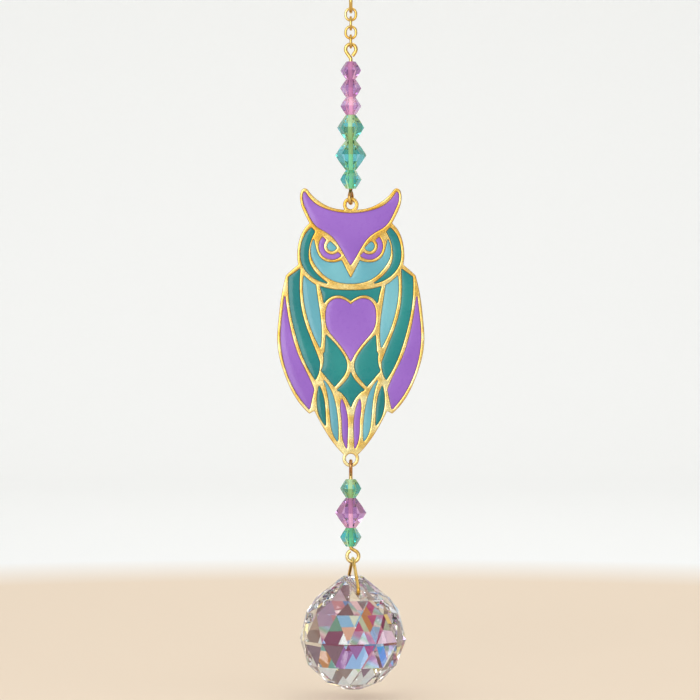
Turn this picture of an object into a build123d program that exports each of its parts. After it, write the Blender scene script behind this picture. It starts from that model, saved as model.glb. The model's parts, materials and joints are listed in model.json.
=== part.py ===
"""Hanging owl suncatcher: a ring and chain, a beaded wire, an enamelled openwork owl, a beaded wire and a crystal ball.

Millimetres. +Z is up, the owl faces -Y, and the origin is the centre of the hanging ring.
Everything hangs in line on the Z axis, each piece linked through the one above it.
"""

from build123d import *
import math
import os

# ---------------------------------------------------------------- driving dimensions
CONTACT_GAP = 0.02  # left between pieces that rest on each other
STACK_GAP = 0.02  # left between neighbouring beads

RING_OUTER_DIAMETER = 5.0
RING_WIRE = 0.7

LINK_LENGTH = 2.8  # outside, along the chain
LINK_WIDTH = 2.5
LINK_WIRE = 0.52
LINK_COUNT = 4

EYE_WIRE = 0.7  # diameter of the wire that carries the beads
EYE_BEND = 0.6  # centreline radius of the kink where the wire leaves the beads
EYE_TIP_GAP = 0.55  # distance the wire's tip keeps from the point where the two legs would meet

AMETHYST_SMALL = (4.0, 3.4)  # girdle diameter, height
TEAL_SMALL = (4.1, 3.6)
BEAD_MEDIUM = (5.2, 4.85)
BEAD_LARGE = (6.0, 5.7)
BEAD_TIP_SHARE = 0.46  # tip width, as a share of the girdle diameter
BEAD_TIP_MAX = 2.0
BEAD_CORNER_PROUD = 1.06  # how far the large facets' corners would stand beyond the girdle radius
BEAD_HOLE = 0.88

PLATE_THICKNESS = 0.8
ENAMEL_THICKNESS = 0.76
TOP_EYELET_RADIUS = 1.5
TOP_HOLE_RADIUS = 0.82
TAIL_EYELET_RADIUS = 1.6
TAIL_HOLE_RADIUS = 0.95
TAIL_HOLE_DROP = 48.8  # from the top hole's centre to the tail hole's centre
CELL_CORNER = 0.1  # radius in the corners of the enamel cells
PLATE_CORNER = 0.2  # radius on the plate's outer corners

BALL_RADIUS = 10.25
BALL_SIDES = 12
BALL_NECK_RADIUS = 1.9
BALL_NECK_HEIGHT = 11.6  # above the ball's centre
BALL_HOLE = 0.85
BALL_HOLE_HEIGHT = 8.6  # above the ball's centre

BEAD_TURN = 9.0  # degrees that neighbouring beads are turned from each other

BAIL_WIRE = 0.65
BAIL_HALF_WIDTH = 7.2  # centreline, out to the corners before they are rounded
BAIL_PIN_LENGTH = 3.9  # how far each end reaches inward from its corner
BAIL_CORNER = 0.7
BAIL_HEIGHT = 6.35  # centreline, from the pins up to the crown
BAIL_TURN = 10.0  # degrees the bail and ball hang turned about Z
BALL_OFFSET = 0.4  # the lower wire's bottom eye, and so the ball, hangs this far to the side of the wire


# ---------------------------------------------------------------- wire work
def ring(outer_diameter, wire):
    """Closed round ring in the YZ plane, centred on the origin."""
    return Rot(0, 90, 0) * Torus((outer_diameter - wire) / 2, wire / 2)


def chain_link(turn):
    """Closed link whose two ends are half rings, centred on the origin and turned about Z; at 0 it faces the front."""
    bend = (LINK_WIDTH - LINK_WIRE) / 2
    straight = LINK_LENGTH - LINK_WIDTH
    link = None
    for up in (1, -1):
        half = Rot(90, 0, 0) * Torus(bend, LINK_WIRE / 2)
        keep = Pos(0, 0, up * LINK_LENGTH) * Box(*[2 * LINK_LENGTH] * 3)
        end = Pos(0, 0, up * straight / 2) * (half & keep)
        side = Pos(up * bend, 0, 0) * Cylinder(LINK_WIRE / 2, straight)
        link = end + side if link is None else link + end + side
    return Rot(0, 0, turn) * link


class Eye:
    """Teardrop eye turned at the end of a straight wire: a kink, a leg, most of a circle and a short closing leg."""

    def __init__(self, radius, leg_angle, neck, lean=0.0):
        self.radius, self.angle, self.neck = radius, leg_angle, neck
        a = math.radians(leg_angle)
        aside = EYE_BEND * (1 - math.cos(a)) - lean  # lean sets the circle's centre off the stem's line
        self.leg = (radius * math.cos(a) - aside) / math.sin(a)
        self.closing = radius / math.tan(a) - EYE_TIP_GAP
        self.centre = neck + EYE_BEND * math.sin(a) + self.leg * math.cos(a) + radius * math.sin(a)
        self.crown = self.centre + radius  # centreline height of the crown above the wire's end

    def half_wire(self, stem):
        """The eye on a stem that runs from the origin up Z, with the eye facing the front."""
        start = stem + self.neck
        with BuildLine(Plane.XZ) as path:
            Line((0, 0), (0, start))
            JernArc((0, start), (0, 1), EYE_BEND, self.angle)
            PolarLine(path.line @ 1, self.leg, direction=path.line % 1)
            JernArc(path.line @ 1, path.line % 1, self.radius, -(180 + 2 * self.angle))
            PolarLine(path.line @ 1, self.closing, direction=path.line % 1)
        return sweep(Plane.XY * Circle(EYE_WIRE / 2), path=path.line)


def eye_wire(top_eye, bottom_eye, stem, bottom_turn):
    """Wire with an eye at each end. The origin is halfway along the straight stem."""
    top = top_eye.half_wire(stem / 2)
    bottom = Rot(0, 0, bottom_turn) * Rot(180, 0, 0) * bottom_eye.half_wire(stem / 2)
    return top + bottom


def bail(height):
    """Wire triangle with its crown at the origin and its two pins, height lower down, pointing at each other."""
    crown_radius = EYE_WIRE / 2 + BAIL_WIRE / 2 + CONTACT_GAP
    apex = height
    for _ in range(20):  # the sharp apex that puts the rounded crown at the asked height
        apex = height - crown_radius + crown_radius / math.sin(math.atan2(BAIL_HALF_WIDTH, apex))
    inner = BAIL_HALF_WIDTH - BAIL_PIN_LENGTH
    low = -height
    corners = [
        (-inner, low),
        (-BAIL_HALF_WIDTH, low),
        (0, low + apex),
        (BAIL_HALF_WIDTH, low),
        (inner, low),
    ]
    with BuildLine(Plane.YZ) as path:
        Polyline(*corners)
        by_height = path.vertices().sort_by(Axis.Z)
        fillet(by_height[-1], crown_radius)
        fillet([v for v in path.vertices() if abs(abs(v.Y) - BAIL_HALF_WIDTH) < 0.01], BAIL_CORNER)
    section = Plane(path.line @ 0, z_dir=path.line % 0) * Circle(BAIL_WIRE / 2)
    return Rot(0, 0, BAIL_TURN) * sweep(section, path=path.line)


# ---------------------------------------------------------------- cut crystal
def frustum_pair(belt_radius, tip_radius, half_height, turn):
    """Two six-sided frustums back to back, sized by their corner radii."""
    belt = RegularPolygon(belt_radius, 6, rotation=turn)
    tip = RegularPolygon(tip_radius, 6, rotation=turn)
    upper = loft([belt, Pos(0, 0, half_height) * tip], ruled=True)
    return upper + mirror(upper, about=Plane.XY)


def bicone(size, turn):
    """Bicone bead centred on the origin. Six large facets a side meet at a sharp girdle, and a narrow facet that
    fades out halfway up takes off each corner between them."""
    diameter, height = size
    belt = diameter / 2
    tip = min(diameter * BEAD_TIP_SHARE, BEAD_TIP_MAX) / 2
    half = height / 2
    corner = belt * BEAD_CORNER_PROUD
    halfway = (corner + tip) / 2
    to_corner = 1 / math.cos(math.pi / 6)
    body = frustum_pair(corner, tip, half, 0)
    body &= frustum_pair(belt * to_corner, (2 * halfway - belt) * to_corner, half, 30)
    return Rot(0, 0, turn) * (body - Cylinder(BEAD_HOLE / 2, height + 1))


def polygon_ring(radius, height, shift):
    """The corners of one horizontal ring of the ball, turned by shift steps."""
    step = 2 * math.pi / BALL_SIDES
    turns = [(i + shift) * step for i in range(BALL_SIDES)]
    return [Vector(radius * math.cos(t), radius * math.sin(t), height) for t in turns]


def crystal_ball():
    """Ball cut with bands of triangles and drawn up to a short neck, with a cross hole below the neck."""
    latitudes = (-80, -58, -31, -3, 28, 46)
    bands = [
        (BALL_RADIUS * math.cos(math.radians(a)), BALL_RADIUS * math.sin(math.radians(a)))
        for a in latitudes
    ]
    bands.append((BALL_NECK_RADIUS, BALL_NECK_HEIGHT))
    rings = [polygon_ring(r, z, (i % 2) / 2) for i, (r, z) in enumerate(bands)]
    faces = [
        Face(Wire.make_polygon(rings[0])),
        Face(Wire.make_polygon(rings[-1])),
    ]
    for level in range(len(rings) - 1):
        low, high = rings[level], rings[level + 1]
        for i in range(BALL_SIDES):
            after = (i + 1) % BALL_SIDES
            # odd rings are half a step ahead of even ones
            up, down = (high[i], low[after]) if level % 2 == 0 else (high[after], low[i])
            faces.append(Face(Wire.make_polygon([low[i], low[after], up])))
            faces.append(Face(Wire.make_polygon([high[i], high[after], down])))
    ball = Solid(Shell(faces))
    hole = Pos(0, 0, BALL_HOLE_HEIGHT) * Rot(90, 0, 0) * Cylinder(BALL_HOLE / 2, 3 * BALL_RADIUS)
    return Rot(0, 0, BAIL_TURN) * (ball - hole)


# ---------------------------------------------------------------- owl outlines
# All outlines are (x, z) from the centre of the top hole, seen from the front. A run is a list of points: two points
# make a line, more make a smooth curve, and runs meet at corners.
def flip(run):
    """The same run on the other side of the owl, in the opposite direction."""
    return [(-x, z) for x, z in reversed(run)]


def arch(half):
    """One smooth run across the owl, from a half that starts on the centreline."""
    return flip(half)[:-1] + half


def closed(*runs):
    """Face enclosed by runs that each start where the one before ended."""
    edges = [Line(*run) if len(run) == 2 else Spline(*run) for run in runs]
    return Face(Wire(edges))


def soften(outline, radius):
    """The outline's face with every corner rounded."""
    face = outline.face()
    return face.fillet_2d(radius, face.vertices())


def plate_outline():
    rim = [(0, -0.95), (3.85, -0.45), (6.1, 0.75), (7.45, 1.9), (8.2, 2.85)]
    ear_tip = [(8.2, 2.85), (8.85, 3.2), (9.55, 2.7)]
    ear_side = [(9.55, 2.7), (9.75, 1.0), (9.2, -1.0), (7.95, -3.55)]
    head = [(7.95, -3.55), (9.3, -5.2), (10.15, -7.9), (10.3, -9.6), (10.1, -11.5)]
    shoulder = [(10.1, -11.5), (11.25, -12.45), (12.45, -13.55)]
    wing = [
        (12.45, -13.55), (13.3, -17.2), (13.95, -22.5), (14.15, -25.5),
        (13.75, -29.2), (12.65, -32.8), (10.9, -36.6), (7.95, -40.15),
    ]
    notch = [(7.95, -40.15), (7.0, -39.6)]
    tail = [(7.0, -39.6), (5.55, -42.4), (3.65, -45.4), (1.45, -47.95)]
    end = [(1.45, -47.95), (-1.45, -47.95)]
    side = [ear_tip, ear_side, head, shoulder, wing, notch, tail]
    return closed(arch(rim), *side, end, *[flip(run) for run in reversed(side)])


def brow():
    top = [(0, -1.6), (4.0, -1.05), (6.7, 0.15), (8.2, 1.65), (8.75, 2.5)]
    tip = [(8.75, 2.5), (9.1, 2.35)]
    side = [
        (9.1, 2.35), (9.2, 0.9), (8.5, -1.0), (7.45, -3.1), (6.5, -4.2),
        (4.9, -5.15), (3.35, -6.35), (2.1, -8.05), (0, -11.6),
    ]
    return closed(arch(top), tip, side, flip(side), flip(tip))


def face_cell():
    jaw = [(0, -15.15), (2.9, -14.75), (4.95, -13.65), (6.5, -12.0), (7.5, -10.2), (7.7, -8.7), (7.1, -6.5)]
    under_eye = [(7.1, -6.5), (6.75, -8.1), (6.1, -9.8), (5.05, -10.75), (3.8, -11.05), (2.6, -10.95), (1.75, -10.65)]
    beak = [(1.75, -10.65), (0, -14.1)]
    return closed(arch(jaw), under_eye, beak, flip(beak), flip(under_eye))


def chest():
    top = [(0, -16.4), (3.2, -16.25), (5.95, -15.6)]
    side = [(5.95, -15.6), (5.45, -17.5), (5.15, -19.1)]
    over_heart = [(5.15, -19.1), (4.4, -18.1), (3.3, -17.5), (2.2, -17.4), (1.0, -17.8), (0, -18.45)]
    return closed(arch(top), side, over_heart, flip(over_heart), flip(side))


def heart():
    lobe = [
        (0, -19.15), (0.9, -18.45), (2.2, -18.0), (3.5, -18.25), (4.5, -19.35), (4.85, -21.3),
        (4.45, -23.8), (2.9, -25.9), (1.15, -28.15), (0, -30.3),
    ]
    return closed(lobe, flip(lobe))


def tail_diamond():
    upper = [(0, -31.6), (0.4, -33.0), (1.25, -34.15), (2.7, -35.6)]
    step = [(2.7, -35.6), (2.0, -35.95)]
    lower = [(2.0, -35.95), (0.95, -37.1), (0, -39.1)]
    side = [upper, step, lower]
    return closed(*side, *[flip(run) for run in reversed(side)])


def cheek():
    end = [(6.85, -5.15), (7.55, -4.35)]
    outer = [(7.55, -4.35), (9.0, -6.1), (9.65, -8.6), (9.5, -11.0), (8.3, -13.1), (6.4, -14.5), (4.15, -15.2)]
    inner = [(4.15, -15.2), (5.5, -14.2), (7.1, -12.55), (7.95, -10.9), (8.1, -8.9), (7.6, -6.7), (6.85, -5.15)]
    return closed(end, outer, inner)


EYE_CENTRE = (3.6, -7.95)
PUPIL_RADIUS = 0.95
EYE_RING = (1.6, 2.55)  # inner and outer radius
LID_OVER_PUPIL = 0.45  # how far past the eye's centre the lid's edge lies


def under_lid(height):
    """The half plane below the lid, whose edge slopes with the brow and lies height past the eye's centre."""
    size = 4 * EYE_RING[1]
    return Pos(*EYE_CENTRE) * Rot(0, 0, 45) * Pos(0, height - size / 2) * Rectangle(size, size)


def eye_ring():
    inner, outer = EYE_RING
    return (Pos(*EYE_CENTRE) * (Circle(outer) - Circle(inner))) & under_lid(0)


def pupil():
    return (Pos(*EYE_CENTRE) * Circle(PUPIL_RADIUS)) & under_lid(LID_OVER_PUPIL)


def wing_band():
    top = [(9.7, -12.2), (11.95, -13.85)]
    outer = [(11.95, -13.85), (11.95, -17.2), (11.5, -21.0), (10.5, -25.2), (8.95, -29.8), (6.8, -33.7)]
    knee = [(6.8, -33.7), (6.35, -32.8), (5.95, -30.2)]
    inner = [(5.95, -30.2), (7.0, -27.4), (8.7, -23.0), (9.65, -18.9), (9.85, -15.8), (9.7, -12.2)]
    return closed(top, outer, knee, inner)


def wing_feather():
    top = [(6.7, -15.4), (7.9, -14.6), (9.05, -13.5)]
    outer = [(9.05, -13.5), (9.2, -16.3), (8.85, -19.4), (8.0, -22.8), (5.85, -27.65)]
    inner = [(5.85, -27.65), (5.6, -24.6), (6.0, -20.2), (6.7, -15.4)]
    return closed(top, outer, inner)


def outer_wing():
    outer = [
        (12.7, -16.6), (13.1, -20.4), (13.5, -25.3), (13.1, -29.2),
        (12.1, -32.7), (10.4, -36.2), (7.9, -39.4),
    ]
    foot = [(7.9, -39.4), (7.05, -35.5)]
    inner = [(7.05, -35.5), (8.2, -32.8), (10.0, -29.1), (11.25, -25.2), (12.2, -20.6), (12.7, -16.6)]
    return closed(outer, foot, inner)


def belly_leaf():
    inner = [
        (4.8, -24.9), (3.35, -26.3), (1.75, -28.3), (0.75, -30.4),
        (0.9, -32.0), (1.8, -33.5), (3.1, -35.0),
    ]
    foot = [(3.1, -35.0), (5.7, -31.9)]
    side = [(5.7, -31.9), (5.25, -30.4), (5.3, -28.6)]
    nick = [(5.3, -28.6), (5.0, -28.2)]
    shank = [(5.0, -28.2), (4.8, -24.9)]
    return closed(inner, foot, side, nick, shank)


def tail_violet():
    outer = [(1.75, -37.2), (2.0, -38.6), (1.75, -41.2), (1.65, -44.0), (0.7, -47.1)]
    inner = [(0.7, -47.1), (0.58, -43.6), (0.65, -40.8), (1.75, -37.2)]
    return closed(outer, inner)


def tail_aqua():
    outer = [(5.5, -33.3), (4.35, -37.0), (3.95, -41.0), (3.55, -43.6), (2.45, -45.6)]
    inner = [(2.45, -45.6), (2.4, -42.6), (2.7, -39.6), (3.55, -36.2), (5.5, -33.3)]
    return closed(outer, inner)


def tail_teal():
    outer = [(6.1, -34.6), (6.5, -37.0), (6.3, -39.6), (4.75, -42.6)]
    inner = [(4.75, -42.6), (4.85, -40.0), (5.2, -37.0), (6.1, -34.6)]
    return closed(outer, inner)


CENTRE_CELLS = {
    "brow": brow,
    "face": face_cell,
    "chest": chest,
    "heart": heart,
    "tail_diamond": tail_diamond,
}
SIDE_CELLS = {
    "cheek": cheek,
    "eye_ring": eye_ring,
    "pupil": pupil,
    "wing_band": wing_band,
    "wing_feather": wing_feather,
    "outer_wing": outer_wing,
    "belly_leaf": belly_leaf,
    "tail_violet": tail_violet,
    "tail_aqua": tail_aqua,
    "tail_teal": tail_teal,
}


def slab(face, thickness):
    """Plate of the given thickness standing in the XZ plane, centred on it."""
    return Rot(90, 0, 0) * extrude(face, amount=thickness / 2, both=True)


def owl():
    """The frame and its enamel fills, by name, with the centre of the top hole at the origin."""
    cells = {f"enamel_{name}": soften(draw(), CELL_CORNER) for name, draw in CENTRE_CELLS.items()}
    for name, draw in SIDE_CELLS.items():
        right = soften(draw(), CELL_CORNER)
        cells[f"enamel_{name}_right"] = right
        cells[f"enamel_{name}_left"] = mirror(right, about=Plane.YZ)
    tail_hole = Pos(0, -TAIL_HOLE_DROP)
    frame = slab(soften(plate_outline(), PLATE_CORNER), PLATE_THICKNESS)
    frame += slab(Circle(TOP_EYELET_RADIUS), PLATE_THICKNESS)
    frame += slab(tail_hole * Circle(TAIL_EYELET_RADIUS), PLATE_THICKNESS)
    frame -= slab(Circle(TOP_HOLE_RADIUS), 2 * PLATE_THICKNESS)
    frame -= slab(tail_hole * Circle(TAIL_HOLE_RADIUS), 2 * PLATE_THICKNESS)
    for cell in cells.values():
        frame -= slab(cell, 2 * PLATE_THICKNESS)
    pieces = {name: slab(cell, ENAMEL_THICKNESS) for name, cell in cells.items()}
    return {"owl_frame": frame, **pieces}


# ---------------------------------------------------------------- assembly, from the ring down
def bead_stack(names, top):
    """Beads threaded one below another from height top. Returns the pieces and the height of the stack's foot."""
    pieces = {}
    for i, (name, size) in enumerate(names.items()):
        half = size[1] / 2
        pieces[name] = Pos(0, 0, top - half) * bicone(size, turn=BEAD_TURN * (i % 3 - 1))
        top -= size[1] + STACK_GAP
    return pieces, top + STACK_GAP


def seat_in_eye(eye):
    """How far below an eye's crown centreline a flat rim of the plate's thickness comes to rest inside the eye."""
    inside = eye.radius - EYE_WIRE / 2 - CONTACT_GAP
    return eye.radius - math.sqrt(inside**2 - (PLATE_THICKNESS / 2) ** 2)


def assemble():
    pieces = {"hang_ring": ring(RING_OUTER_DIAMETER, RING_WIRE)}

    crown = -(RING_OUTER_DIAMETER - RING_WIRE) / 2  # centreline height of the crown that the next piece hangs on
    crown_wire = RING_WIRE
    link_span = LINK_LENGTH - LINK_WIRE
    for i in range(LINK_COUNT):
        top = crown + (crown_wire + LINK_WIRE) / 2 + CONTACT_GAP
        pieces[f"chain_link_{i + 1}"] = Pos(0, 0, top - link_span / 2) * chain_link(turn=90.0 * (i % 2))
        crown, crown_wire = top - link_span, LINK_WIRE

    upper_beads = {
        "upper_bead_1_violet": AMETHYST_SMALL,
        "upper_bead_2_violet": AMETHYST_SMALL,
        "upper_bead_3_violet": AMETHYST_SMALL,
        "upper_bead_4_teal": BEAD_MEDIUM,
        "upper_bead_5_teal": BEAD_LARGE,
        "upper_bead_6_teal": TEAL_SMALL,
    }
    top_eye = Eye(radius=1.0, leg_angle=35, neck=0.45)
    plate_eye = Eye(radius=1.0, leg_angle=40, neck=0.0)
    stack_top = crown + (LINK_WIRE + EYE_WIRE) / 2 + CONTACT_GAP - top_eye.crown
    beads, stack_foot = bead_stack(upper_beads, stack_top)
    stem = stack_top - stack_foot
    wire = eye_wire(top_eye, plate_eye, stem, bottom_turn=75.0)
    pieces["upper_eye_wire"] = Pos(0, 0, stack_top - stem / 2) * wire
    pieces.update(beads)

    owl_top = stack_foot - plate_eye.crown + seat_in_eye(plate_eye) - TOP_HOLE_RADIUS
    pieces.update({name: Pos(0, 0, owl_top) * piece for name, piece in owl().items()})

    tail_foot = owl_top - TAIL_HOLE_DROP - TAIL_HOLE_RADIUS
    lower_beads = {
        "lower_bead_1_teal": TEAL_SMALL,
        "lower_bead_2_violet": BEAD_LARGE,
        "lower_bead_3_teal": TEAL_SMALL,
    }
    tail_eye = Eye(radius=1.0, leg_angle=35, neck=0.55)
    bail_eye = Eye(radius=1.12, leg_angle=60, neck=0.0, lean=BALL_OFFSET)
    stack_top = tail_foot + seat_in_eye(tail_eye) - tail_eye.crown
    beads, stack_foot = bead_stack(lower_beads, stack_top)
    stem = stack_top - stack_foot
    wire = Rot(0, 0, 90) * eye_wire(tail_eye, bail_eye, stem, bottom_turn=90.0)
    pieces["lower_eye_wire"] = Pos(0, 0, stack_top - stem / 2) * wire
    pieces.update(beads)

    bail_crown = stack_foot - bail_eye.crown + (EYE_WIRE + BAIL_WIRE) / 2 + CONTACT_GAP
    pieces["ball_bail"] = Pos(BALL_OFFSET, 0, bail_crown) * bail(BAIL_HEIGHT)
    ball_centre = bail_crown - BAIL_HEIGHT - BALL_HOLE_HEIGHT
    pieces["crystal_ball"] = Pos(BALL_OFFSET, 0, ball_centre) * crystal_ball()
    return pieces


os.makedirs("parts", exist_ok=True)
for node, shape in assemble().items():
    export_step(shape, f"parts/{node}.step")
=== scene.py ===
"""Looks for the owl suncatcher: rounded gold plate, domed enamel, cut crystal, and a plain studio around it.

Everything is in metres in the row's frame, except outlines, which are in millimetres.
"""

import json
import math

import bpy
import numpy as np
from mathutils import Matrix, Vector
from mathutils.geometry import delaunay_2d_cdt
from mathutils.kdtree import KDTree


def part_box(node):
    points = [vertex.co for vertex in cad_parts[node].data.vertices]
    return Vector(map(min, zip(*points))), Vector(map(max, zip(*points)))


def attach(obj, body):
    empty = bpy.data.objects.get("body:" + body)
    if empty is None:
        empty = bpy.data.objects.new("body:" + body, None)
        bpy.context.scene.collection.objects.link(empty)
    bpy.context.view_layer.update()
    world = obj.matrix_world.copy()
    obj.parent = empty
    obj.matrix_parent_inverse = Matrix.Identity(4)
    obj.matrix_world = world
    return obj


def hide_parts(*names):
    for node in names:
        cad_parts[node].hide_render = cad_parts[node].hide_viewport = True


MM = 0.001

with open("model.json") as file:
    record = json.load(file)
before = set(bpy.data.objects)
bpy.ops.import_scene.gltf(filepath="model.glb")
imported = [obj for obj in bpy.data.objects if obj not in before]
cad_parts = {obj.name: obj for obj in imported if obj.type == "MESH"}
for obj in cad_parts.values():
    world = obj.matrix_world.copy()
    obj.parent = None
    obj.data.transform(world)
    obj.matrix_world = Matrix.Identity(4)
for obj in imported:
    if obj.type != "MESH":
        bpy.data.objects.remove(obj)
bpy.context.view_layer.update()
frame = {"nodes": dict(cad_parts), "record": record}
NODES = frame["nodes"]
SLOT_OF = {s["node"]: s["material_slot"] for s in frame["record"]["subparts"]}

# ------------------------------------------------------- sizes of the modelled surfaces, in millimetres
METAL_ROUND = 0.2  # radius worn on the edges of the gold lines
METAL_STEP = 0.14  # spacing of the points along the gold outlines
METAL_INSETS = (0.03, 0.09, 0.16, 0.26)  # rows of points this far inside the gold outlines
FILL_STEP = 0.16  # the same for the enamel
FILL_INSETS = (0.05, 0.14, 0.28, 0.48, 0.75)
FILL_GRID = 0.45  # spacing of the points in the middle of a fill
FILL_RIM = 0.24  # half thickness of the enamel where it meets the metal
FILL_CROWN = 0.345  # half thickness of the enamel in the middle of a wide cell
FILL_REACH = 1.1  # distance from the metal over which the enamel climbs most of the way


# ------------------------------------------------------- outlines taken from the CAD plate
def face_outlines(node):
    """Closed outlines of a plate's front face: arrays of (x, z) in millimetres, the face on their left."""
    mesh = NODES[node].data
    points = np.array([v.co for v in mesh.vertices]) / MM
    front = points[:, 1].min()
    keys = [tuple(k) for k in np.round(points * 1e4).astype(int)]
    first = {}
    same = [first.setdefault(k, i) for i, k in enumerate(keys)]
    edges = set()
    for face in mesh.polygons:
        corners = [same[i] for i in face.vertices]
        if max(abs(points[i, 1] - front) for i in corners) < 1e-3:
            for a, b in zip(corners, corners[1:] + corners[:1]):
                if (b, a) in edges:
                    edges.remove((b, a))
                else:
                    edges.add((a, b))
    after = dict(edges)
    loops = []
    while after:
        start, here = after.popitem()
        loop = [start]
        while here != start:
            loop.append(here)
            here = after.pop(here)
        loops.append(points[loop][:, [0, 2]])
    return loops


def respaced(loop, step):
    """The loop with its points evenly spaced."""
    ring = np.vstack([loop, loop[:1]])
    along = np.concatenate([[0], np.cumsum(np.linalg.norm(np.diff(ring, axis=0), axis=1))])
    count = max(8, int(round(along[-1] / step)))
    stations = np.arange(count) * along[-1] / count
    return np.column_stack([np.interp(stations, along, ring[:, i]) for i in (0, 1)])


def inward(loop):
    """Unit normals pointing into the face, for a loop with the face on its left."""
    along = np.roll(loop, -1, axis=0) - np.roll(loop, 1, axis=0)
    along /= np.linalg.norm(along, axis=1)[:, None]
    return np.column_stack([-along[:, 1], along[:, 0]])


class Outline:
    """Answers how far a point is from the outlines, and whether it is on the face's side of them."""

    def __init__(self, loops):
        self.points = np.vstack(loops)
        self.normals = np.vstack([inward(loop) for loop in loops])
        self.before = np.vstack([np.roll(loop, 1, axis=0) for loop in loops])
        self.after = np.vstack([np.roll(loop, -1, axis=0) for loop in loops])
        self.tree = KDTree(len(self.points))
        for i, (x, z) in enumerate(self.points.tolist()):
            self.tree.insert((x, z, 0.0), i)
        self.tree.balance()

    def measure(self, queries):
        """(distance, inside) for each query point."""
        nearest = np.array([self.tree.find((x, z, 0.0))[1] for x, z in queries.tolist()])
        here = self.points[nearest]
        gaps = []
        for other in (self.before[nearest], self.after[nearest]):
            along = other - here
            share = ((queries - here) * along).sum(1) / (along**2).sum(1)
            foot = here + np.clip(share, 0, 1)[:, None] * along
            gaps.append(np.linalg.norm(queries - foot, axis=1))
        side = ((queries - here) * self.normals[nearest]).sum(1) > 0
        return np.minimum(*gaps), side


def grid(loops, step):
    """Points of a triangular grid that covers the outlines."""
    every = np.vstack(loops)
    low, high = every.min(0), every.max(0)
    rows = np.arange(low[1], high[1], step * math.sqrt(3) / 2)
    columns = np.arange(low[0], high[0], step)
    return np.array([(x + (j % 2) * step / 2, z) for j, z in enumerate(rows) for x in columns])


# ------------------------------------------------------- solids with shaped faces
def shaped_plate(name, loops, insets, half_thickness, grid_step=None):
    """Closed mesh over the outlines, the same front and back, whose half thickness depends on the distance
    from the outline. The distance is kept on the mesh, in millimetres, as the attribute edge_mm."""
    outline = Outline(loops)
    layers = [outline.points]
    for inset in insets:
        ring = outline.points + outline.normals * inset
        distance, within = outline.measure(ring)
        layers.append(ring[within & (distance > 0.9 * inset)])
    if grid_step:
        middle = grid(loops, grid_step)
        distance, within = outline.measure(middle)
        layers.append(middle[within & (distance > insets[-1] + 0.6 * grid_step)])
    points = np.vstack(layers)

    edges = []
    begin = 0
    for loop in loops:
        ids = list(range(begin, begin + len(loop)))
        edges += list(zip(ids, ids[1:] + ids[:1]))
        begin += len(loop)
    vectors = [Vector(p) for p in points.tolist()]
    flat, _, triangles, _, _, _ = delaunay_2d_cdt(vectors, edges, [], 0, 1e-5)
    flat = np.array(flat)
    centres = np.array([flat[list(t)].mean(0) for t in triangles])
    triangles = [t for t, kept in zip(triangles, outline.measure(centres)[1]) if kept]

    distance = outline.measure(flat)[0]
    depth = np.array([half_thickness(d) for d in distance])
    front = np.column_stack([flat[:, 0], -depth, flat[:, 1]]) * MM
    back = np.column_stack([flat[:, 0], depth, flat[:, 1]]) * MM
    count = len(flat)
    faces = [tuple(t) for t in triangles] + [tuple(count + i for i in reversed(t)) for t in triangles]
    outer = {}
    for t in triangles:
        for a, b in zip(t, t[1:] + t[:1]):
            if outer.pop((b, a), None) is None:
                outer[(a, b)] = True
    faces += [(b, a, count + a, count + b) for a, b in outer]

    mesh = bpy.data.meshes.new(name)
    mesh.from_pydata(np.vstack([front, back]).tolist(), [], faces)
    mesh.attributes.new("edge_mm", "FLOAT", "POINT").data.foreach_set("value", np.tile(distance, 2))
    mesh.polygons.foreach_set("use_smooth", [True] * len(mesh.polygons))
    mesh.validate()
    obj = bpy.data.objects.new(name, mesh)
    bpy.context.scene.collection.objects.link(obj)
    return obj


def metal_half_thickness(thickness):
    def at(distance):
        into = max(0.0, METAL_ROUND - distance)
        return thickness / 2 - METAL_ROUND + math.sqrt(METAL_ROUND**2 - into**2)

    return at


def fill_half_thickness(distance):
    return FILL_RIM + (FILL_CROWN - FILL_RIM) * (1 - math.exp(-distance / FILL_REACH))


# ------------------------------------------------------- material kit
def rgb(red, green, blue):
    """Linear colour from the 0 to 255 numbers of a screen colour."""
    channels = [c / 255 for c in (red, green, blue)]
    return tuple(c / 12.92 if c <= 0.04045 else ((c + 0.055) / 1.055) ** 2.4 for c in channels) + (1.0,)


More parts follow.
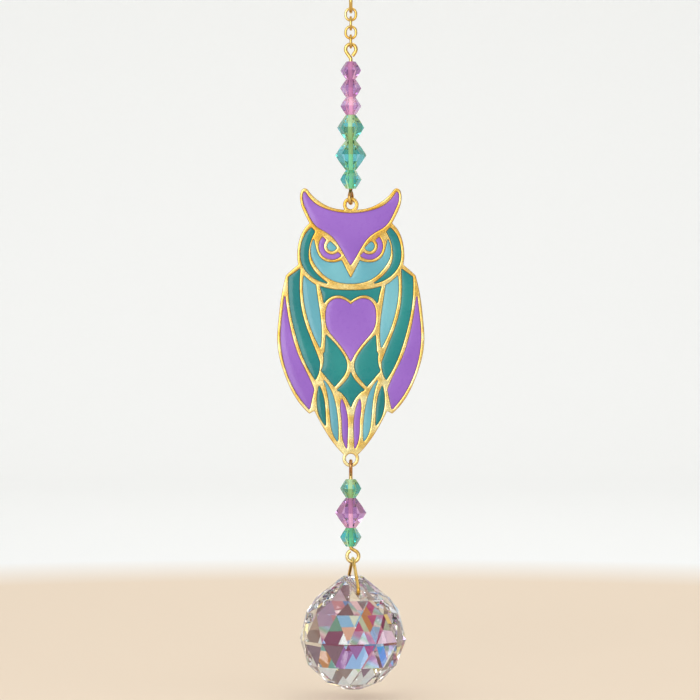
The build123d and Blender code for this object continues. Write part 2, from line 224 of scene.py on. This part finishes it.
class Nodes:
    """Short way to build a node tree."""

    def __init__(self, name):
        self.material = bpy.data.materials.new(name)
        self.material.use_nodes = True
        self.tree = self.material.node_tree
        self.tree.nodes.clear()

    def add(self, kind, settings=None, **inputs):
        """A new node. Inputs are named with _ for a space, or numbered with keys such as "0"."""
        node = self.tree.nodes.new(kind)
        for key, value in (settings or {}).items():
            setattr(node, key, value)
        for key, value in inputs.items():
            self.put(node, key.replace("_", " "), value)
        return node

    def put(self, node, key, value):
        socket = node.inputs[int(key)] if key.isdigit() else node.inputs[key]
        if isinstance(value, bpy.types.NodeSocket):
            self.tree.links.new(value, socket)
        else:
            socket.default_value = value

    def place(self):
        """Where the point is on the piece, which moves along with the piece."""
        return self.add("ShaderNodeTexCoord").outputs["Object"]

    def part(self, vector, axis):
        return self.add("ShaderNodeSeparateXYZ", Vector=vector).outputs[axis]

    def height(self):
        return self.part(self.place(), "Z")

    def noise(self, scale, detail=3.0, roughness=0.5):
        """Noise fixed to the object, with features about 1 / scale millimetres across."""
        settings = {"Scale": scale / MM, "Detail": detail, "Roughness": roughness}
        return self.add("ShaderNodeTexNoise", Vector=self.place(), **settings).outputs["Fac"]

    def ramp(self, fac, *stops, smooth=True):
        node = self.add("ShaderNodeValToRGB", Fac=fac)
        node.color_ramp.interpolation = "LINEAR" if smooth else "CONSTANT"
        while len(node.color_ramp.elements) < len(stops):
            node.color_ramp.elements.new(0.5)
        for element, (place, color) in zip(node.color_ramp.elements, stops):
            element.position = place
            element.color = color if isinstance(color, tuple) else (color, color, color, 1.0)
        return node.outputs["Color"]

    def mix(self, fac, first, second, blend="MIX"):
        node = self.add("ShaderNodeMix", {"data_type": "RGBA", "blend_type": blend})
        for socket, value in ((node.inputs[0], fac), (node.inputs[6], first), (node.inputs[7], second)):
            if isinstance(value, bpy.types.NodeSocket):
                self.tree.links.new(value, socket)
            else:
                socket.default_value = value
        return node.outputs[2]

    def math(self, operation, *values):
        node = self.add("ShaderNodeMath", {"operation": operation})
        for i, value in enumerate(values):
            self.put(node, str(i), value)
        return node.outputs[0]

    def vector(self, operation, *values, output=0):
        inputs = {str(i): value for i, value in enumerate(values)}
        return self.add("ShaderNodeVectorMath", {"operation": operation}, **inputs).outputs[output]

    def spread(self, fac, low, high, new_low=0.0, new_high=1.0):
        """The value moved from the range low to high into the new range, and clamped to it."""
        node = self.add("ShaderNodeMapRange", Value=fac)
        for key, value in (("From Min", low), ("From Max", high), ("To Min", new_low), ("To Max", new_high)):
            node.inputs[key].default_value = value
        return node.outputs["Result"]

    def edge_mm(self):
        return self.add("ShaderNodeAttribute", {"attribute_name": "edge_mm"}).outputs["Fac"]

    def bump(self, height, depth_mm, strength=1.0):
        node = self.add("ShaderNodeBump", Height=height, Distance=depth_mm * MM, Strength=strength)
        return node.outputs["Normal"]

    def finish(self, lets_lamps_through=None, **inputs):
        """The finished material. Glass can pass lamp light on, tinted with the colour lets_lamps_through."""
        surface = self.add("ShaderNodeBsdfPrincipled", **inputs).outputs[0]
        if lets_lamps_through is not None:
            shadow = self.add("ShaderNodeLightPath").outputs["Is Shadow Ray"]
            mixed = self.add("ShaderNodeMixShader", Fac=shadow)
            clear = self.add("ShaderNodeBsdfTransparent", Color=lets_lamps_through)
            self.tree.links.new(surface, mixed.inputs[1])
            self.tree.links.new(clear.outputs[0], mixed.inputs[2])
            surface = mixed.outputs[0]
        self.tree.links.new(surface, self.add("ShaderNodeOutputMaterial").inputs["Surface"])
        return self.material


GOLD_FADE = 0.12  # fading gold is this much darker, then paler, at its ends, out of 1 for all its tones
PAINTED_SHADE_REACH = (1.0 * MM, 2.2 * MM)  # painted shade, brown and full up to the first distance, none past the second


def gold(name, shaded_edges=False, fades=None, shade_painted_at=None):
    """Gold plating: warm drifts of tone, fine polishing marks, and a duller line beside the enamel that
    carries painted shade of the recess there, darker and rosier.
    It can fade from one height to another, and have painted shade, a patchy brown, around the height where a
    wire hooks through the plate."""
    n = Nodes(name)
    drift = n.noise(0.35, 4)
    if fades:
        drift = n.math("ADD", drift, n.spread(n.height(), *fades, -GOLD_FADE, GOLD_FADE))
    color = n.ramp(drift, (0.3, rgb(206, 158, 66)), (0.5, rgb(218, 184, 106)), (0.7, rgb(232, 217, 158)))
    if shade_painted_at is not None:
        away = n.math("ABSOLUTE", n.math("SUBTRACT", n.height(), shade_painted_at))
        near = n.spread(away, *PAINTED_SHADE_REACH, 1.0, 0.0)
        patchy = n.spread(n.noise(2, 3), 0.3, 0.7, 0.5, 1.0)
        # painted shade: patchy brown where the wire hooks through the plate's hole
        color = n.mix(n.math("MULTIPLY", near, patchy), color, rgb(166, 98, 58))
    spots = n.ramp(n.noise(5, 2), (0.60, 0.0), (0.72, 1.0))
    color = n.mix(n.math("MULTIPLY", spots, 0.25), color, rgb(196, 126, 66))
    rough = n.spread(n.noise(2.2, 5, 0.7), 0.3, 0.7, 0.14, 0.30)
    if shaded_edges:
        # painted shade: a darker, rosier line on the gold where it meets the enamel, standing in for the
        # shade of the recess; the line is also made rougher
        shaded_seam = n.ramp(n.edge_mm(), (0.0, 1.0), (0.09, 0.0))
        color = n.mix(n.math("MULTIPLY", shaded_seam, 0.75), color, rgb(150, 84, 48))
        rough = n.math("ADD", rough, n.math("MULTIPLY", shaded_seam, 0.15))
    bump = n.bump(n.noise(7, 4, 0.6), 0.012, 0.35)
    return n.finish(Base_Color=color, Metallic=1.0, Roughness=rough, Normal=bump)


def enamel(name, dark, base, light):
    """Glossy resin enamel: cloudy pigment, darker along the metal, a few mica specks, a clear wavy coat."""
    n = Nodes(name)
    clouds = n.mix(0.08, n.noise(0.08, 1), n.noise(2.5, 4, 0.6))
    color = n.ramp(clouds, (0.2, dark), (0.5, base), (0.8, light))
    specks = n.ramp(n.noise(9, 1), (0.72, 0.0), (0.76, 1.0))
    color = n.mix(n.math("MULTIPLY", specks, 0.2), color, light)
    rim = n.ramp(n.edge_mm(), (0.0, 1.0), (0.2, 0.0))
    color = n.mix(n.math("MULTIPLY", rim, 0.6), color, dark)
    ripple = n.bump(n.noise(0.2, 1), 0.06, 0.25)
    return n.finish(
        Base_Color=color,
        Roughness=n.spread(n.noise(1.3, 4), 0.3, 0.7, 0.24, 0.36),
        Subsurface_Weight=0.12,
        Subsurface_Radius=(0.6 * MM, 0.5 * MM, 0.6 * MM),
        Specular_IOR_Level=0.15,
        Coat_Weight=0.6,
        Coat_Roughness=0.1,
        Normal=ripple,
    )


GRID_SHIFT = (2.0137, 2.0291, 2.0419)  # keeps directions with an exact 0 in them off the grid's steps
FACET_STEP = 0.06  # facets whose directions are closer than about this can share a colour


def snapped(n, vector, step):
    """The vector rounded to a coarse grid, so that it is one value over a flat facet."""
    return n.vector("SNAP", n.vector("ADD", vector, GRID_SHIFT), (step, step, step))


def facet_normal(n):
    """The facet's outward direction, which turns with the object, also where light meets it from inside."""
    geometry = n.add("ShaderNodeNewGeometry")
    turn = {"vector_type": "NORMAL", "convert_from": "WORLD", "convert_to": "OBJECT"}
    normal = geometry.outputs["True Normal"]
    facing = n.add("ShaderNodeVectorTransform", turn, Vector=normal).outputs["Vector"]
    outward = n.spread(geometry.outputs["Backfacing"], 0.0, 1.0, 1.0, -1.0)
    return n.vector("MULTIPLY", facing, outward)


def chance(n, vector):
    """A number from 0 to 1 picked by the vector."""
    return n.add("ShaderNodeTexWhiteNoise", {"noise_dimensions": "3D"}, Vector=vector).outputs["Value"]


def palette(n, pick, colors):
    """One of the colours, picked by a number from 0 to 1."""
    return n.ramp(pick, *[(i / len(colors), color) for i, color in enumerate(colors)], smooth=False)


BORE_RADIUS = 0.47 * MM  # anything nearer a bead's axis is the wall of its hole
BORE_GLOW = 0.5  # makes up for the light that a drilled hole would gather from all over the bead
GLASS_INDEX = 1.56


def off_axis(n, place):
    """Distance from the object's upright axis."""
    return n.vector("LENGTH", n.vector("MULTIPLY", place, (1.0, 1.0, 0.0)), output="Value")


def in_bore(n):
    """1 on the wall of a bead's drilled hole and 0 on its facets."""
    return n.math("LESS_THAN", off_axis(n, n.place()), BORE_RADIUS)


def crystal(name, tints_and_reflections, bore, glow):
    """Coloured cut glass whose facets differ in colour: the first colour is the glass's own tint, the others
    are painted reflections, lighter and darker. It has a matt drilled hole that glows with painted light,
    and faint polishing marks.
    """
    n = Nodes(name)
    # painted reflections: each facet takes one of the colours, standing in for the differently lit
    # surroundings it would mirror
    color = palette(n, chance(n, snapped(n, facet_normal(n), FACET_STEP)), tints_and_reflections)
    color = n.mix(n.math("MULTIPLY", n.noise(0.8, 3), 0.3), color, tints_and_reflections[0])
    drilled = in_bore(n)
    polish = n.spread(n.noise(3, 4), 0.4, 0.8, 0.0, 0.05)
    return n.finish(
        lets_lamps_through=n.mix(0.4, tints_and_reflections[0], rgb(255, 255, 255)),
        Base_Color=n.mix(drilled, color, bore),
        Roughness=n.math("MAXIMUM", polish, drilled),
        IOR=GLASS_INDEX,
        Transmission_Weight=n.math("SUBTRACT", 1.0, drilled),
        Emission_Color=glow,
        Emission_Strength=n.math("MULTIPLY", drilled, BORE_GLOW),
        Normal=n.bump(n.noise(1.5, 2), 0.004, 0.3),
    )


COAT_STRETCH = (1.0, 0.0, 1.35)  # slant of the light inside the ball counts more up and down than sideways
COAT_MIDDLE = (0.04, 0.0, 0.12)  # slant at the middle of the coloured light
COAT_REACH = (0.31, 0.45)  # how much more slanted light can be and still be coloured, the least and the most
COAT_SHUFFLE = (4.1, 1.3, 8.8)  # any three numbers; they choose which facet gets which colour
COLOR_STEP = 0.13  # the colour of a facet changes when the direction of the light changes by about this
REACH_STEP = 0.11  # the same for its reach
BACK_FACET = 0.3  # a facet is at the back if its outward direction is at least this much along Y
FRONT_TO_BACK = 0.7  # light that is less along Y than this comes from the sides or above
SIDE_REACH = 0.6  # such light is coloured up to this sine of its angle from square to the facet
STRIPES_PER_METRE = (120.0, 0.0, 230.0)
STRIPED_SHARE = 0.18  # of the patches of colour
STRIPE_SHIFT = 40.0  # moves the stripes by a different amount on each facet
STRIPE_SHUFFLE = 31.0  # any number; it chooses which facets are striped
STRIPE_COLORS = (
    rgb(200, 140, 175), rgb(225, 205, 220), rgb(150, 190, 175), rgb(160, 190, 230), rgb(185, 130, 190),
)
COAT_COLORS = (
    rgb(128, 44, 97), rgb(172, 72, 139), rgb(97, 144, 219), rgb(230, 232, 230), rgb(123, 86, 102),
    rgb(144, 184, 231), rgb(195, 133, 155), rgb(195, 128, 67), rgb(150, 91, 161), rgb(44, 150, 219),
    rgb(172, 150, 195), rgb(102, 161, 150), rgb(184, 62, 133), rgb(190, 210, 190), rgb(225, 190, 210),
)
# painted glints: mostly clear, with some pale and dark patches that stand in for reflections at the ball's
# edge
PAINTED_EDGE_GLINTS = (
    rgb(232, 230, 224), rgb(224, 222, 216), rgb(140, 118, 112), rgb(236, 236, 232), rgb(178, 160, 150),
    rgb(200, 176, 205), rgb(228, 224, 214), rgb(236, 214, 130), rgb(128, 98, 116), rgb(150, 134, 122),
    rgb(190, 214, 170), rgb(236, 236, 230),
)


def coat_color(n, pick):
    """The colour of a facet where the coat shows at its strongest, plain or striped."""
    across = n.vector("DOT_PRODUCT", n.place(), STRIPES_PER_METRE, output="Value")
    stripes = n.math("FRACT", n.math("ADD", across, n.math("MULTIPLY", pick, STRIPE_SHIFT)))
    rainbow = n.ramp(stripes, *[(i / len(STRIPE_COLORS), color) for i, color in enumerate(STRIPE_COLORS)])
    striped = n.math("LESS_THAN", n.math("FRACT", n.math("MULTIPLY", pick, STRIPE_SHUFFLE)), STRIPED_SHARE)
    return n.mix(striped, palette(n, pick, COAT_COLORS), rainbow)


def coated_crystal(name):
    """Clear cut glass with a rainbow coat on its back facets. The coat changes colour with the facet and
    with the direction of the light that crosses it, some of it in stripes. Steeply slanted light gets
    painted glints instead, mostly clear with a few taupe, plum, yellow and green ones, that stand in for
    reflections at the ball's edge. From the sides and above, the facets that light meets from inside show
    the coat."""
    n = Nodes(name)
    facet = facet_normal(n)
    geometry = n.add("ShaderNodeNewGeometry").outputs
    light = geometry["Incoming"]
    by_facet = snapped(n, facet, FACET_STEP)
    by_light = snapped(n, light, COLOR_STEP)
    pick = chance(n, n.vector("MULTIPLY_ADD", by_facet, by_light, COAT_SHUFFLE))

    from_side = n.math("LESS_THAN", n.math("ABSOLUTE", n.part(light, "Y")), FRONT_TO_BACK)
    steep = n.vector("DISTANCE", n.vector("MULTIPLY", light, COAT_STRETCH), COAT_MIDDLE, output="Value")
    reach = n.spread(chance(n, snapped(n, light, REACH_STEP)), 0.0, 1.0, *COAT_REACH)
    skew = n.vector("LENGTH", n.vector("CROSS_PRODUCT", light, geometry["True Normal"]), output="Value")
    square_from_side = n.math("MULTIPLY", from_side, n.math("LESS_THAN", skew, SIDE_REACH))
    strong = n.math("MAXIMUM", n.math("LESS_THAN", steep, reach), square_from_side)
    # painted glints where the light is too slanted for the coat's strong colours
    coat = n.mix(strong, palette(n, pick, PAINTED_EDGE_GLINTS), coat_color(n, pick))

    at_back = n.math("GREATER_THAN", n.part(facet, "Y"), BACK_FACET)
    coated = n.math("MAXIMUM", at_back, n.math("MULTIPLY", from_side, geometry["Backfacing"]))
    return n.finish(
        lets_lamps_through=rgb(240, 240, 240),
        Base_Color=n.mix(coated, rgb(250, 251, 252), n.mix(1.0, coat, coat, "MULTIPLY")),
        Roughness=n.spread(n.noise(3, 4), 0.4, 0.8, 0.0, 0.03),
        IOR=GLASS_INDEX,
        Transmission_Weight=1.0,
        Normal=n.bump(n.noise(1.2, 2), 0.004, 0.2),
    )


# ------------------------------------------------------- the owl's plate and fills
def use_material(obj, material):
    obj.data.materials.clear()
    obj.data.materials.append(material)


def build_owl_frame(material):
    low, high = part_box("owl_frame")
    loops = [respaced(loop, METAL_STEP) for loop in face_outlines("owl_frame")]
    thickness = (high.y - low.y) / MM
    plate = shaped_plate("owl_plate", loops, METAL_INSETS, metal_half_thickness(thickness))
    use_material(plate, material)
    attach(plate, "owl")
    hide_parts("owl_frame")


def build_fill(node, material):
    loops = [respaced(loop, FILL_STEP) for loop in face_outlines(node)]
    fill = shaped_plate(node.replace("enamel_", "fill_"), loops, FILL_INSETS, fill_half_thickness, FILL_GRID)
    use_material(fill, material)
    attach(fill, "owl")
    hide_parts(node)


def build_object():
    """Gives every piece its shape and material."""
    owl_low, owl_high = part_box("owl_frame")
    wire = gold("gold_wire")
    plate = gold("gold_plate", shaded_edges=True, fades=(owl_high.z, owl_low.z))
    hooked = {
        "upper_eye_wire": gold("gold_upper_wire", shade_painted_at=owl_high.z),
        "lower_eye_wire": gold("gold_lower_wire", shade_painted_at=owl_low.z),
    }
    # the glass's own tint first, then painted reflections, lighter and darker, for single facets
    amethyst_tints_and_reflections = (
        rgb(196, 142, 202), rgb(154, 94, 162), rgb(236, 192, 222), rgb(118, 66, 130), rgb(216, 182, 232),
    )
    teal_tints_and_reflections = (
        rgb(44, 166, 168), rgb(146, 216, 234), rgb(30, 138, 142), rgb(88, 144, 108), rgb(66, 188, 196),
    )
    looks = {
        "enamel_violet": enamel("enamel_violet", rgb(130, 82, 178), rgb(146, 98, 192), rgb(164, 120, 206)),
        "enamel_teal": enamel("enamel_teal", rgb(2, 104, 108), rgb(4, 126, 126), rgb(40, 146, 140)),
        "enamel_aqua": enamel("enamel_aqua", rgb(80, 148, 164), rgb(98, 170, 184), rgb(122, 188, 198)),
        "crystal_amethyst": crystal(
            "crystal_amethyst", amethyst_tints_and_reflections, bore=rgb(255, 226, 214), glow=rgb(185, 160, 158)
        ),
        "crystal_teal": crystal(
            "crystal_teal", teal_tints_and_reflections, bore=rgb(255, 246, 196), glow=rgb(255, 190, 100)
        ),
        "crystal_clear": coated_crystal("crystal_clear"),
    }
    for name, obj in NODES.items():
        slot = SLOT_OF[name]
        if name == "owl_frame":
            build_owl_frame(plate)
        elif name.startswith("enamel_"):
            build_fill(name, looks[slot])
        else:
            use_material(obj, hooked.get(name, wire) if slot == "gold" else looks[slot])


# ------------------------------------------------------- studio
VIEW_WIDTH = 134.6 * MM  # width of the picture where the object hangs
VIEW_BELOW_OWL_HOLE = 27.9 * MM  # from the owl's top hole down to the centre of the picture
LENS = 135.0
SENSOR = 36.0
CAMERA_LEFT = 0.15 * MM  # the camera stands this far left of the object's middle
TAIL_EYELET_DROP = 50.4 * MM  # from the owl's top hole to the lowest point of its tail eyelet
FLOOR_GAP = 2.0 * MM  # the ball hangs this far above the floor
WARM_FLOOR = (0.26, 0.34)  # the warm round of floor fades out between these distances from the object
BACKDROP_DISTANCE = 1.1
BACKDROP_HEIGHT = 2.5
COVE_RADIUS = 0.3
COVE_STEPS = 16
STAGE_REACH = 4.0


def stage_material():
    """Pale paper with a warmer round of floor under the object."""
    n = Nodes("stage")
    where = n.add("ShaderNodeNewGeometry").outputs["Position"]
    tone = n.mix(n.spread(off_axis(n, where), *WARM_FLOOR), rgb(231, 213, 191), rgb(243, 244, 243))
    grain = n.noise(0.4, 4)
    tone = n.mix(n.math("MULTIPLY", grain, 0.04), tone, rgb(200, 196, 190))
    return n.finish(Base_Color=tone, Roughness=0.9, Specular_IOR_Level=0.1)


def build_stage(floor_height):
    """One sheet: floor, a quarter-round cove and a backdrop."""
    flat_end = BACKDROP_DISTANCE - COVE_RADIUS
    profile = [(-STAGE_REACH, 0.0), (flat_end, 0.0)]
    for i in range(1, COVE_STEPS + 1):
        turn = math.radians(90 * i / COVE_STEPS)
        profile.append((flat_end + COVE_RADIUS * math.sin(turn), COVE_RADIUS * (1 - math.cos(turn))))
    profile.append((BACKDROP_DISTANCE, BACKDROP_HEIGHT))
    vertices = [(x, y, floor_height + z) for y, z in profile for x in (-STAGE_REACH, STAGE_REACH)]
    faces = [(2 * i, 2 * i + 1, 2 * i + 3, 2 * i + 2) for i in range(len(profile) - 1)]
    mesh = bpy.data.meshes.new("stage")
    mesh.from_pydata(vertices, [], faces)
    mesh.polygons.foreach_set("use_smooth", [True] * len(faces))
    stage = bpy.data.objects.new("stage", mesh)
    bpy.context.scene.collection.objects.link(stage)
    use_material(stage, stage_material())


def softbox(name, place, target, size, energy, color):
    """A rectangular lamp that faces the target. Its energy is in watts."""
    lamp = bpy.data.lights.new(name, "AREA")
    lamp.shape = "RECTANGLE"
    lamp.size, lamp.size_y = size
    lamp.energy = energy
    lamp.color = color
    obj = bpy.data.objects.new(name, lamp)
    obj.location = place
    obj.rotation_euler = (Vector(target) - Vector(place)).to_track_quat("-Z", "Y").to_euler()
    bpy.context.scene.collection.objects.link(obj)


def build_lights(middle):
    """Four soft lamps: from the upper left, a narrow one from the right, from above and behind, and one on
    the backdrop."""
    object_middle = (0, 0, middle)
    backdrop_middle = (0, BACKDROP_DISTANCE, middle)
    softbox("key", (-0.17, -0.46, middle + 0.12), object_middle, (0.26, 0.36), 1.0, (1.0, 0.99, 1.0))
    softbox("strip", (0.15, -0.47, middle + 0.04), object_middle, (0.035, 0.3), 0.16, (1.0, 0.99, 1.0))
    softbox("back", (0.1, 0.12, middle + 0.45), (0, 0.1, middle), (0.7, 0.25), 0.6, (1.0, 1.0, 1.0))
    softbox("backdrop", (0, 0.5, middle + 0.8), backdrop_middle, (1.8, 0.3), 2.2, (1.0, 0.93, 0.87))


BRIGHT_SIDE = (-0.6, -0.45, 0.5)  # direction in which the surroundings are brightest
SURROUNDINGS = (  # from the dark side, 0, to the bright side, 1
    (0.0, (0.34, 0.31, 0.30, 1)),
    (0.40, (0.46, 0.45, 0.44, 1)),
    (0.56, (0.82, 0.83, 0.84, 1)),
    (1.0, (0.99, 1.0, 1.0, 1)),
)
SURROUNDINGS_STRENGTH = 0.88


def build_world():
    """Soft surroundings: bright to the upper left, warm and dim to the lower right."""
    world = bpy.data.worlds.new("studio")
    bpy.context.scene.world = world
    world.use_nodes = True
    tree = world.node_tree
    direction = tree.nodes.new("ShaderNodeTexCoord").outputs["Generated"]
    toward = tree.nodes.new("ShaderNodeVectorMath")
    toward.operation = "DOT_PRODUCT"
    toward.inputs[1].default_value = Vector(BRIGHT_SIDE).normalized()
    tree.links.new(direction, toward.inputs[0])
    spread = tree.nodes.new("ShaderNodeMapRange")
    spread.inputs["From Min"].default_value = -1.0
    tree.links.new(toward.outputs["Value"], spread.inputs["Value"])
    ramp = tree.nodes.new("ShaderNodeValToRGB")
    elements = ramp.color_ramp.elements
    for place, color in SURROUNDINGS[1:-1]:
        elements.new(place).color = color
    elements[0].color = SURROUNDINGS[0][1]
    elements[-1].color = SURROUNDINGS[-1][1]
    tree.links.new(spread.outputs["Result"], ramp.inputs["Fac"])
    background = tree.nodes["Background"]
    background.inputs["Strength"].default_value = SURROUNDINGS_STRENGTH
    tree.links.new(ramp.outputs["Color"], background.inputs["Color"])


def build_camera(middle):
    data = bpy.data.cameras.new("camera")
    data.lens = LENS
    data.sensor_width = SENSOR
    camera = bpy.data.objects.new("camera", data)
    camera.location = (-CAMERA_LEFT, -VIEW_WIDTH * LENS / SENSOR, middle)
    camera.rotation_euler = (math.radians(90), 0, 0)
    data.clip_start, data.clip_end = 0.01, 20.0
    bpy.context.scene.collection.objects.link(camera)
    bpy.context.scene.camera = camera


build_object()
owl_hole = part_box("owl_frame")[0].z + TAIL_EYELET_DROP
view_middle = owl_hole - VIEW_BELOW_OWL_HOLE
build_stage(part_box("crystal_ball")[0].z - FLOOR_GAP)
build_lights(view_middle)
build_world()
build_camera(view_middle)
bpy.context.scene.view_settings.view_transform = "Standard"
bpy.context.scene.cycles.max_bounces = 24  # light crosses the cut crystal many times
bpy.context.scene.cycles.glossy_bounces = 16
bpy.context.scene.cycles.transmission_bounces = 24
